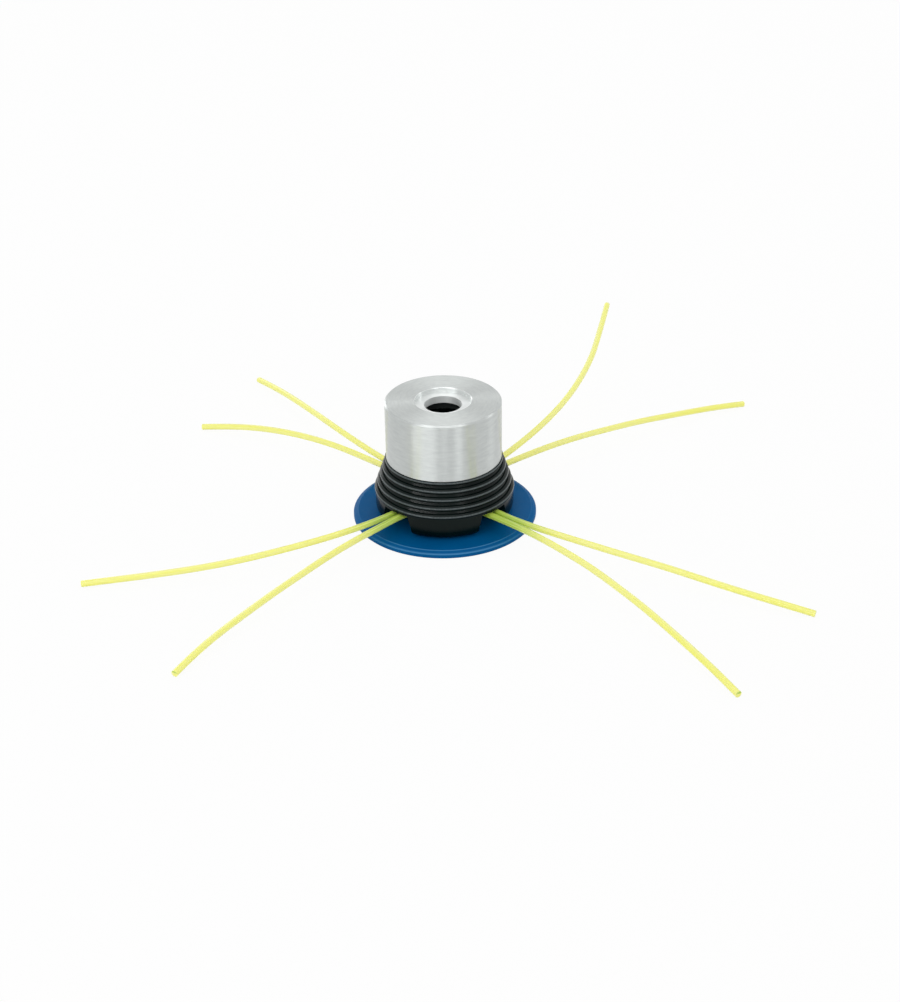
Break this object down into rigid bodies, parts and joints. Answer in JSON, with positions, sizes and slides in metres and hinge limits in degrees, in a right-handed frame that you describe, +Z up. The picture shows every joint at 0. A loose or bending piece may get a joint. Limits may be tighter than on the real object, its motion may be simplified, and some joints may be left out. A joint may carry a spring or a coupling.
{
  "type": "fixed line trimmer head",
  "caption": "Fixed line trimmer head with an aluminium cap, a ribbed black line carrier, a blue base disc and yellow nylon lines.",
  "frame": {"origin": "centre of the base disc's underside", "axes": "+Z up along the shaft, from the base disc to the gearbox; the line exits lie at 45 degrees to X and Y"},
  "size_m": [0.3715, 0.3927, 0.0684],
  "materials": {
    "turned_aluminium": "satin",
    "black_nylon": "satin",
    "blue_nylon": "satin",
    "yellow_line": "gloss",
    "screw_steel": "satin"
  },
  "bodies": {
    "root": {"cap": "turned_aluminium", "carrier": "black_nylon", "base_disc": "blue_nylon", "line_front": "yellow_line", "line_right": "yellow_line", "line_back": "yellow_line", "line_left": "yellow_line", "screws": "screw_steel"}
  },
  "joints": []
}
